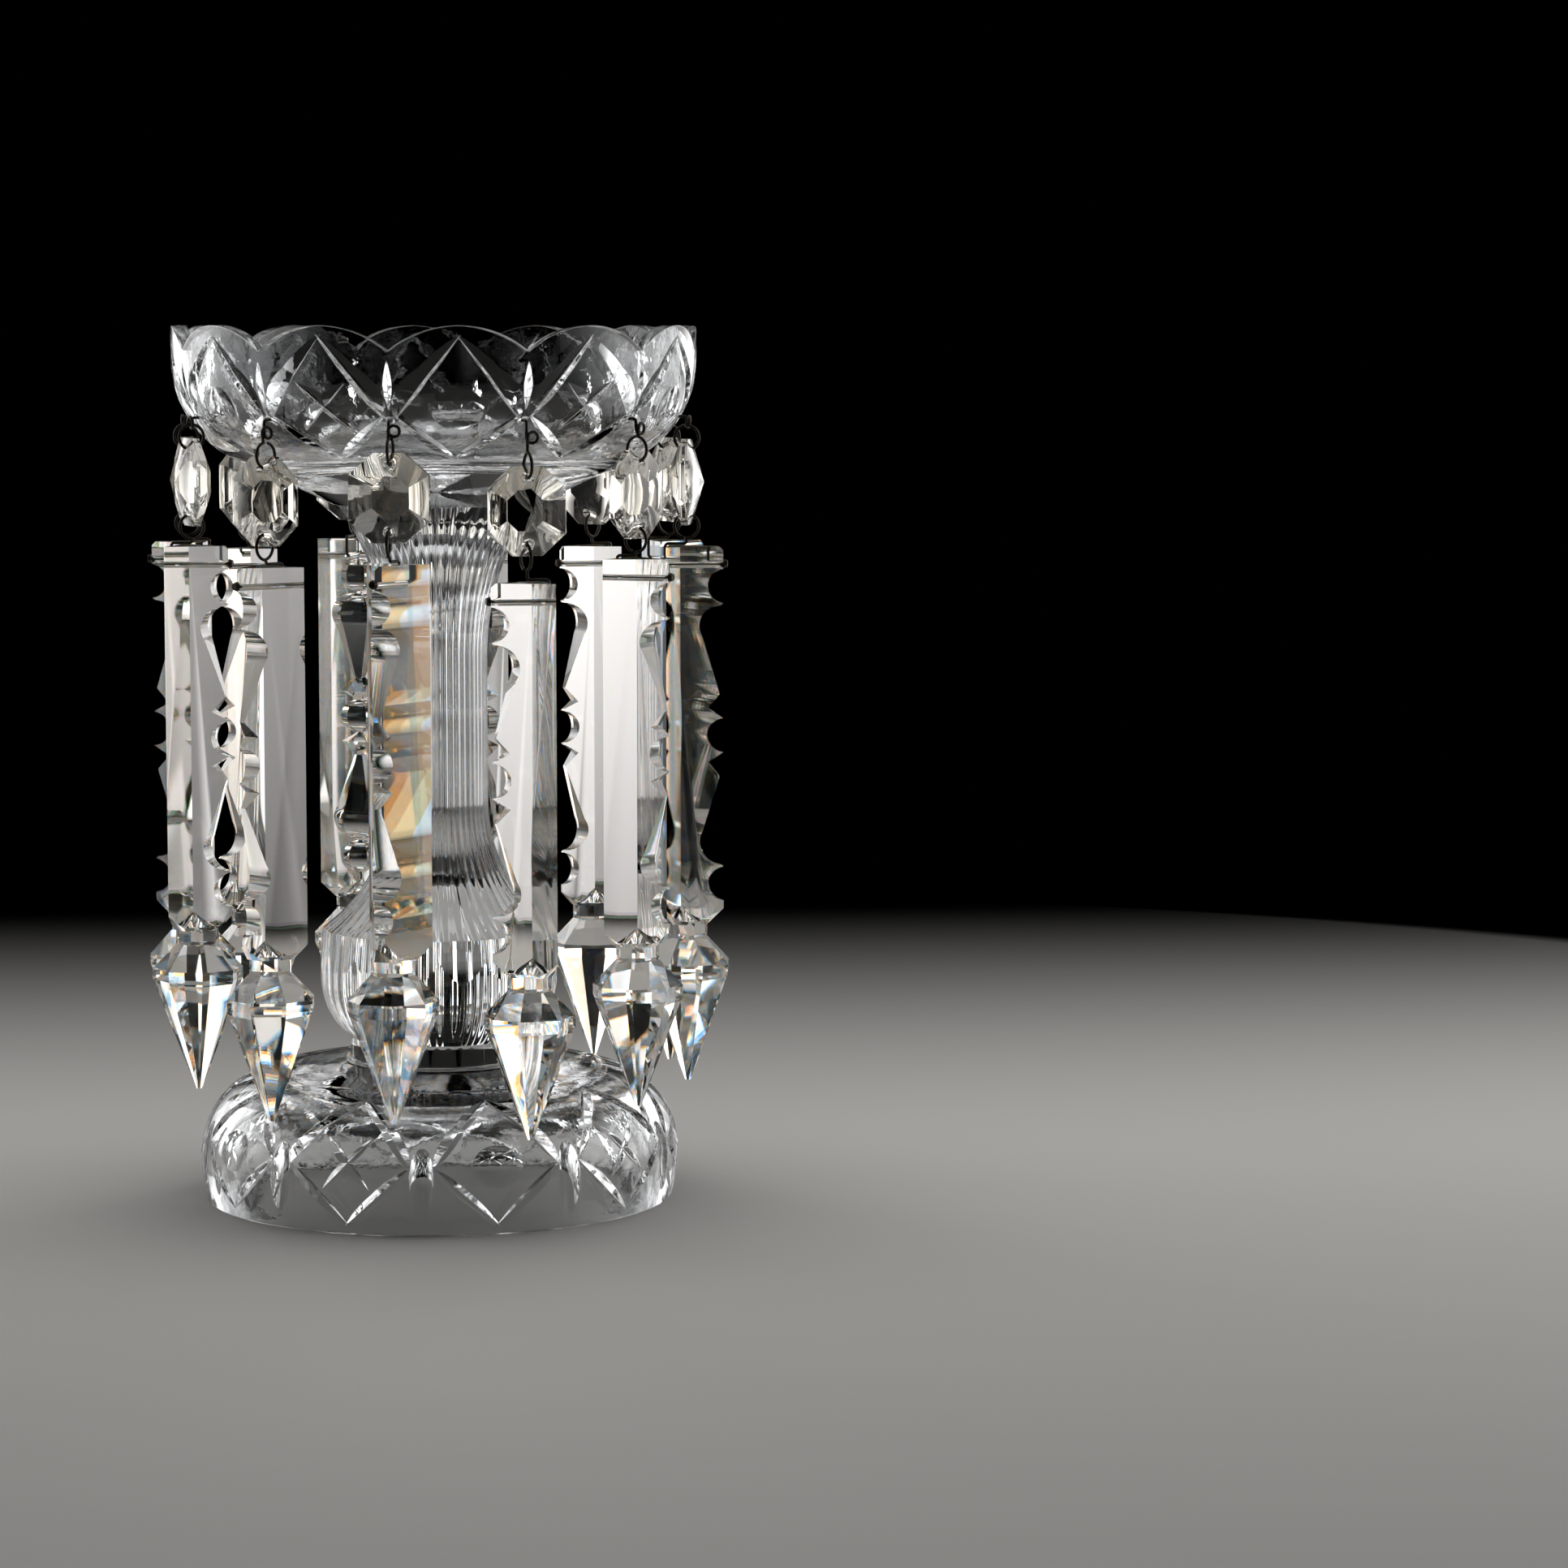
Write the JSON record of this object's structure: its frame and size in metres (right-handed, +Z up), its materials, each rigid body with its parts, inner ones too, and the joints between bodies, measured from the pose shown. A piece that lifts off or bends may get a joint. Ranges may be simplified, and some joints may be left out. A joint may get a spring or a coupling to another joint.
{
  "type": "mantel lustre",
  "caption": "Cut-glass mantel lustre: scalloped bowl on a panelled column and domed foot, hung with eight-sided beads and notched spear prisms on wire hooks.",
  "frame": {"origin": "on the table under the axis of the foot", "axes": "+Z up along the column, -Y towards the viewer of the picture"},
  "size_m": [0.1905, 0.1912, 0.286],
  "materials": {
    "body_glass": "polished cut lead glass",
    "bead_glass": "polished cut lead glass, faintly warm",
    "prism_glass": "polished cut lead glass, faintly warm",
    "wire": "drawn steel wire, darkened"
  },
  "bodies": {
    "stand": {"foot": "body_glass", "column": "body_glass", "bowl": "body_glass"},
    "hook_1": {"hook_1": "wire"},
    "bead_1": {"bead_1": "bead_glass"},
    "pin_1": {"pin_1": "wire"},
    "prism_1": {"prism_1": "prism_glass"},
    "hook_2": {"hook_2": "wire"},
    "bead_2": {"bead_2": "bead_glass"},
    "pin_2": {"pin_2": "wire"},
    "prism_2": {"prism_2": "prism_glass"},
    "hook_3": {"hook_3": "wire"},
    "bead_3": {"bead_3": "bead_glass"},
    "pin_3": {"pin_3": "wire"},
    "prism_3": {"prism_3": "prism_glass"},
    "hook_4": {"hook_4": "wire"},
    "bead_4": {"bead_4": "bead_glass"},
    "pin_4": {"pin_4": "wire"},
    "prism_4": {"prism_4": "prism_glass"},
    "hook_5": {"hook_5": "wire"},
    "bead_5": {"bead_5": "bead_glass"},
    "pin_5": {"pin_5": "wire"},
    "prism_5": {"prism_5": "prism_glass"},
    "hook_6": {"hook_6": "wire"},
    "bead_6": {"bead_6": "bead_glass"},
    "pin_6": {"pin_6": "wire"},
    "prism_6": {"prism_6": "prism_glass"},
    "hook_7": {"hook_7": "wire"},
    "bead_7": {"bead_7": "bead_glass"},
    "pin_7": {"pin_7": "wire"},
    "prism_7": {"prism_7": "prism_glass"},
    "hook_8": {"hook_8": "wire"},
    "bead_8": {"bead_8": "bead_glass"},
    "pin_8": {"pin_8": "wire"},
    "prism_8": {"prism_8": "prism_glass"},
    "hook_9": {"hook_9": "wire"},
    "bead_9": {"bead_9": "bead_glass"},
    "pin_9": {"pin_9": "wire"},
    "prism_9": {"prism_9": "prism_glass"},
    "hook_10": {"hook_10": "wire"},
    "bead_10": {"bead_10": "bead_glass"},
    "pin_10": {"pin_10": "wire"},
    "prism_10": {"prism_10": "prism_glass"},
    "hook_11": {"hook_11": "wire"},
    "bead_11": {"bead_11": "bead_glass"},
    "pin_11": {"pin_11": "wire"},
    "prism_11": {"prism_11": "prism_glass"},
    "hook_12": {"hook_12": "wire"},
    "bead_12": {"bead_12": "bead_glass"},
    "pin_12": {"pin_12": "wire"},
    "prism_12": {"prism_12": "prism_glass"}
  },
  "joints": [
    {"name": "hook_swing_1", "type": "hinge", "parent": "stand", "child": "hook_1", "pos_m": [-0.01397, -0.07925, 0.25665], "axis": [-0.1736, -0.9848, 0], "range_deg": [-4, 4]},
    {"name": "bead_swing_1", "type": "hinge", "parent": "hook_1", "child": "bead_1", "pos_m": [-0.01436, -0.08142, 0.24708], "axis": [-0.9848, 0.1736, 0], "range_deg": [-1, 30]},
    {"name": "pin_swing_1", "type": "hinge", "parent": "bead_1", "child": "pin_1", "pos_m": [-0.01436, -0.08142, 0.21852], "axis": [-0.9848, 0.1736, 0], "range_deg": [-1, 25]},
    {"name": "prism_swing_1", "type": "hinge", "parent": "pin_1", "child": "prism_1", "pos_m": [-0.01436, -0.08142, 0.20662], "axis": [-0.4067, -0.9135, 0], "range_deg": [-4.5, 4.5]},
    {"name": "hook_swing_2", "type": "hinge", "parent": "stand", "child": "hook_2", "pos_m": [0.02753, -0.07562, 0.25665], "axis": [0.342, -0.9397, 0], "range_deg": [-4, 4]},
    {"name": "bead_swing_2", "type": "hinge", "parent": "hook_2", "child": "bead_2", "pos_m": [0.02828, -0.07769, 0.24288], "axis": [-0.9397, -0.342, 0], "range_deg": [-0.8, 30]},
    {"name": "pin_swing_2", "type": "hinge", "parent": "bead_2", "child": "pin_2", "pos_m": [0.02828, -0.07769, 0.21432], "axis": [-0.9397, -0.342, 0], "range_deg": [-0.5, 25]},
    {"name": "prism_swing_2", "type": "hinge", "parent": "pin_2", "child": "prism_2", "pos_m": [0.02828, -0.07769, 0.20062], "axis": [-0.9703, -0.2419, 0], "range_deg": [-1, 10]},
    {"name": "hook_swing_3", "type": "hinge", "parent": "stand", "child": "hook_3", "pos_m": [0.06165, -0.05173, 0.25665], "axis": [0.766, -0.6428, 0], "range_deg": [-4, 4]},
    {"name": "bead_swing_3", "type": "hinge", "parent": "hook_3", "child": "bead_3", "pos_m": [0.06333, -0.05314, 0.24708], "axis": [-0.6428, -0.766, 0], "range_deg": [-1, 30]},
    {"name": "pin_swing_3", "type": "hinge", "parent": "bead_3", "child": "pin_3", "pos_m": [0.06333, -0.05314, 0.21852], "axis": [-0.6428, -0.766, 0], "range_deg": [-1, 25]},
    {"name": "prism_swing_3", "type": "hinge", "parent": "pin_3", "child": "prism_3", "pos_m": [0.06333, -0.05314, 0.20682], "axis": [0.848, -0.5299, 0], "range_deg": [-4.5, 4.5]},
    {"name": "hook_swing_4", "type": "hinge", "parent": "stand", "child": "hook_4", "pos_m": [0.07925, -0.01397, 0.25665], "axis": [0.9848, -0.1736, 0], "range_deg": [-4, 4]},
    {"name": "bead_swing_4", "type": "hinge", "parent": "hook_4", "child": "bead_4", "pos_m": [0.08142, -0.01436, 0.24968], "axis": [-0.1736, -0.9848, 0], "range_deg": [-1, 30]},
    {"name": "pin_swing_4", "type": "hinge", "parent": "bead_4", "child": "pin_4", "pos_m": [0.08142, -0.01436, 0.22112], "axis": [-0.1736, -0.9848, 0], "range_deg": [-1, 25]},
    {"name": "prism_swing_4", "type": "hinge", "parent": "pin_4", "child": "prism_4", "pos_m": [0.08142, -0.01436, 0.20882], "axis": [0.9945, -0.1045, 0], "range_deg": [-4.5, 4.5]},
    {"name": "hook_swing_5", "type": "hinge", "parent": "stand", "child": "hook_5", "pos_m": [0.07562, 0.02753, 0.25665], "axis": [0.9397, 0.342, 0], "range_deg": [-4, 4]},
    {"name": "bead_swing_5", "type": "hinge", "parent": "hook_5", "child": "bead_5", "pos_m": [0.07769, 0.02828, 0.24908], "axis": [0.342, -0.9397, 0], "range_deg": [-1, 30]},
    {"name": "pin_swing_5", "type": "hinge", "parent": "bead_5", "child": "pin_5", "pos_m": [0.07769, 0.02828, 0.22052], "axis": [0.342, -0.9397, 0], "range_deg": [-1, 25]},
    {"name": "prism_swing_5", "type": "hinge", "parent": "pin_5", "child": "prism_5", "pos_m": [0.07769, 0.02828, 0.20882], "axis": [0.9703, 0.2419, 0], "range_deg": [-4.5, 4.5]},
    {"name": "hook_swing_6", "type": "hinge", "parent": "stand", "child": "hook_6", "pos_m": [0.05173, 0.06165, 0.25665], "axis": [0.6428, 0.766, 0], "range_deg": [-4, 4]},
    {"name": "bead_swing_6", "type": "hinge", "parent": "hook_6", "child": "bead_6", "pos_m": [0.05314, 0.06333, 0.24668], "axis": [0.766, -0.6428, 0], "range_deg": [-1, 30]},
    {"name": "pin_swing_6", "type": "hinge", "parent": "bead_6", "child": "pin_6", "pos_m": [0.05314, 0.06333, 0.21812], "axis": [0.766, -0.6428, 0], "range_deg": [-1, 25]},
    {"name": "prism_swing_6", "type": "hinge", "parent": "pin_6", "child": "prism_6", "pos_m": [0.05314, 0.06333, 0.20542], "axis": [0.9272, 0.3746, 0], "range_deg": [-3, 4.5]},
    {"name": "hook_swing_7", "type": "hinge", "parent": "stand", "child": "hook_7", "pos_m": [0.01397, 0.07925, 0.25665], "axis": [0.1736, 0.9848, 0], "range_deg": [-4, 4]},
    {"name": "bead_swing_7", "type": "hinge", "parent": "hook_7", "child": "bead_7", "pos_m": [0.01436, 0.08142, 0.24588], "axis": [0.9848, -0.1736, 0], "range_deg": [-1, 30]},
    {"name": "pin_swing_7", "type": "hinge", "parent": "bead_7", "child": "pin_7", "pos_m": [0.01436, 0.08142, 0.21732], "axis": [0.9848, -0.1736, 0], "range_deg": [-1, 25]},
    {"name": "prism_swing_7", "type": "hinge", "parent": "pin_7", "child": "prism_7", "pos_m": [0.01436, 0.08142, 0.20532], "axis": [0.0872, 0.9962, 0], "range_deg": [-4.5, 4.5]},
    {"name": "hook_swing_8", "type": "hinge", "parent": "stand", "child": "hook_8", "pos_m": [-0.02753, 0.07562, 0.25665], "axis": [-0.342, 0.9397, 0], "range_deg": [-4, 4]},
    {"name": "bead_swing_8", "type": "hinge", "parent": "hook_8", "child": "bead_8", "pos_m": [-0.02828, 0.07769, 0.24788], "axis": [0.9397, 0.342, 0], "range_deg": [-1, 30]},
    {"name": "pin_swing_8", "type": "hinge", "parent": "bead_8", "child": "pin_8", "pos_m": [-0.02828, 0.07769, 0.21932], "axis": [0.9397, 0.342, 0], "range_deg": [-1, 25]},
    {"name": "prism_swing_8", "type": "hinge", "parent": "pin_8", "child": "prism_8", "pos_m": [-0.02828, 0.07769, 0.20762], "axis": [0.309, 0.9511, 0], "range_deg": [-3, 4.5]},
    {"name": "hook_swing_9", "type": "hinge", "parent": "stand", "child": "hook_9", "pos_m": [-0.06165, 0.05173, 0.25665], "axis": [-0.766, 0.6428, 0], "range_deg": [-4, 4]},
    {"name": "bead_swing_9", "type": "hinge", "parent": "hook_9", "child": "bead_9", "pos_m": [-0.06333, 0.05314, 0.24648], "axis": [0.6428, 0.766, 0], "range_deg": [-1, 30]},
    {"name": "pin_swing_9", "type": "hinge", "parent": "bead_9", "child": "pin_9", "pos_m": [-0.06333, 0.05314, 0.21792], "axis": [0.6428, 0.766, 0], "range_deg": [-1, 25]},
    {"name": "prism_swing_9", "type": "hinge", "parent": "pin_9", "child": "prism_9", "pos_m": [-0.06333, 0.05314, 0.20552], "axis": [0.9135, 0.4067, 0], "range_deg": [-1.5, 10]},
    {"name": "hook_swing_10", "type": "hinge", "parent": "stand", "child": "hook_10", "pos_m": [-0.07925, 0.01397, 0.25665], "axis": [-0.9848, 0.1736, 0], "range_deg": [-4, 4]},
    {"name": "bead_swing_10", "type": "hinge", "parent": "hook_10", "child": "bead_10", "pos_m": [-0.08142, 0.01436, 0.24988], "axis": [0.1736, 0.9848, 0], "range_deg": [-1, 30]},
    {"name": "pin_swing_10", "type": "hinge", "parent": "bead_10", "child": "pin_10", "pos_m": [-0.08142, 0.01436, 0.22132], "axis": [0.1736, 0.9848, 0], "range_deg": [-1, 25]},
    {"name": "prism_swing_10", "type": "hinge", "parent": "pin_10", "child": "prism_10", "pos_m": [-0.08142, 0.01436, 0.20962], "axis": [-0.9976, 0.0698, 0], "range_deg": [-4.5, 4.5]},
    {"name": "hook_swing_11", "type": "hinge", "parent": "stand", "child": "hook_11", "pos_m": [-0.07562, -0.02753, 0.25665], "axis": [-0.9397, -0.342, 0], "range_deg": [-4, 4]},
    {"name": "bead_swing_11", "type": "hinge", "parent": "hook_11", "child": "bead_11", "pos_m": [-0.07769, -0.02828, 0.25048], "axis": [-0.342, 0.9397, 0], "range_deg": [-1, 30]},
    {"name": "pin_swing_11", "type": "hinge", "parent": "bead_11", "child": "pin_11", "pos_m": [-0.07769, -0.02828, 0.22192], "axis": [-0.342, 0.9397, 0], "range_deg": [-1, 25]},
    {"name": "prism_swing_11", "type": "hinge", "parent": "pin_11", "child": "prism_11", "pos_m": [-0.07769, -0.02828, 0.21022], "axis": [-0.9703, 0.2419, 0], "range_deg": [-3, 4.5]},
    {"name": "hook_swing_12", "type": "hinge", "parent": "stand", "child": "hook_12", "pos_m": [-0.05173, -0.06165, 0.25665], "axis": [-0.6428, -0.766, 0], "range_deg": [-4, 4]},
    {"name": "bead_swing_12", "type": "hinge", "parent": "hook_12", "child": "bead_12", "pos_m": [-0.05314, -0.06333, 0.24548], "axis": [-0.766, 0.6428, 0], "range_deg": [-1, 30]},
    {"name": "pin_swing_12", "type": "hinge", "parent": "bead_12", "child": "pin_12", "pos_m": [-0.05314, -0.06333, 0.21692], "axis": [-0.766, 0.6428, 0], "range_deg": [-1, 25]},
    {"name": "prism_swing_12", "type": "hinge", "parent": "pin_12", "child": "prism_12", "pos_m": [-0.05314, -0.06333, 0.20512], "axis": [-0.7193, -0.6947, 0], "range_deg": [-4.5, 4.5]}
  ]
}
